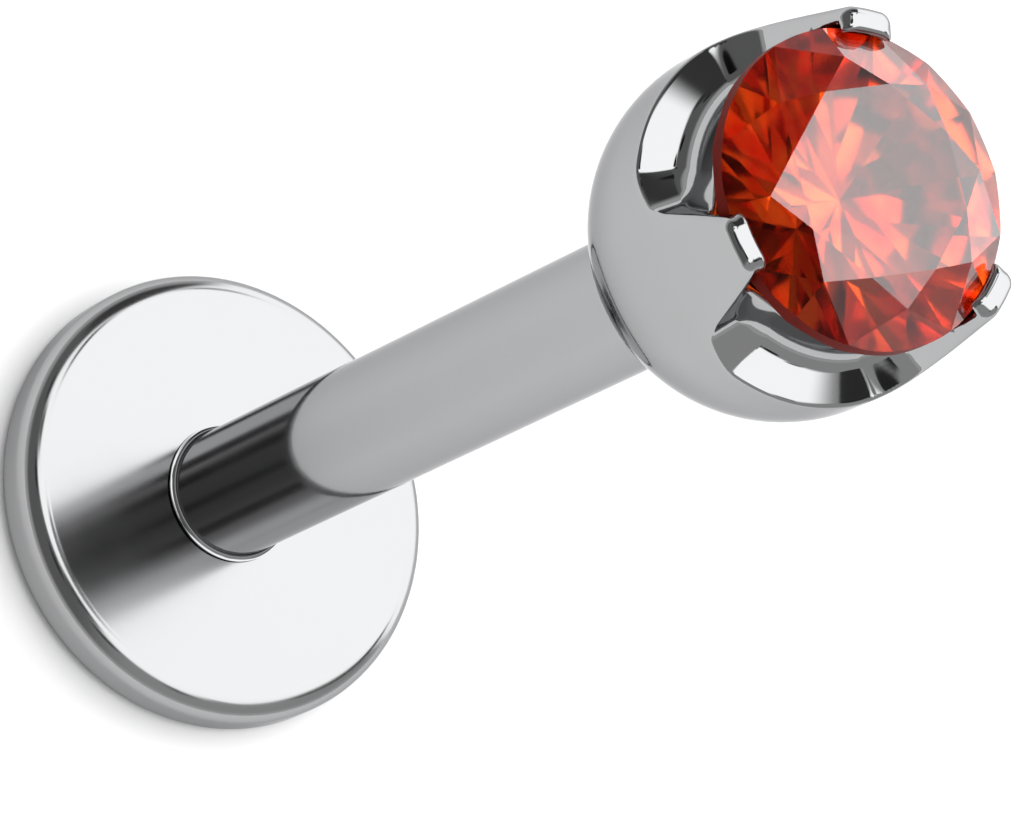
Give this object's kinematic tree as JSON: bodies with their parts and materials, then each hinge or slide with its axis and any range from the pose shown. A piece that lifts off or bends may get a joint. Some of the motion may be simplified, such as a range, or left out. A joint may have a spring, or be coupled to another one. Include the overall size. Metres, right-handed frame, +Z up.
{
  "type": "labret stud",
  "caption": "Straight labret stud: flat disc back, plain round post and a ball head whose claws hold a faceted stone.",
  "frame": {"origin": "centre of the disc's flat underside", "axes": "+Z up the post from the disc to the stone's table; -Y towards one claw; +X to the right of it seen from the front"},
  "size_m": [0.0042, 0.0042, 0.0113],
  "materials": {
    "polished_steel": "mirror polish",
    "orange_stone": "polished facets, clear orange-red"
  },
  "bodies": {
    "root": {"disc": "polished_steel", "post": "polished_steel", "setting": "polished_steel", "stone": "orange_stone"}
  },
  "joints": []
}
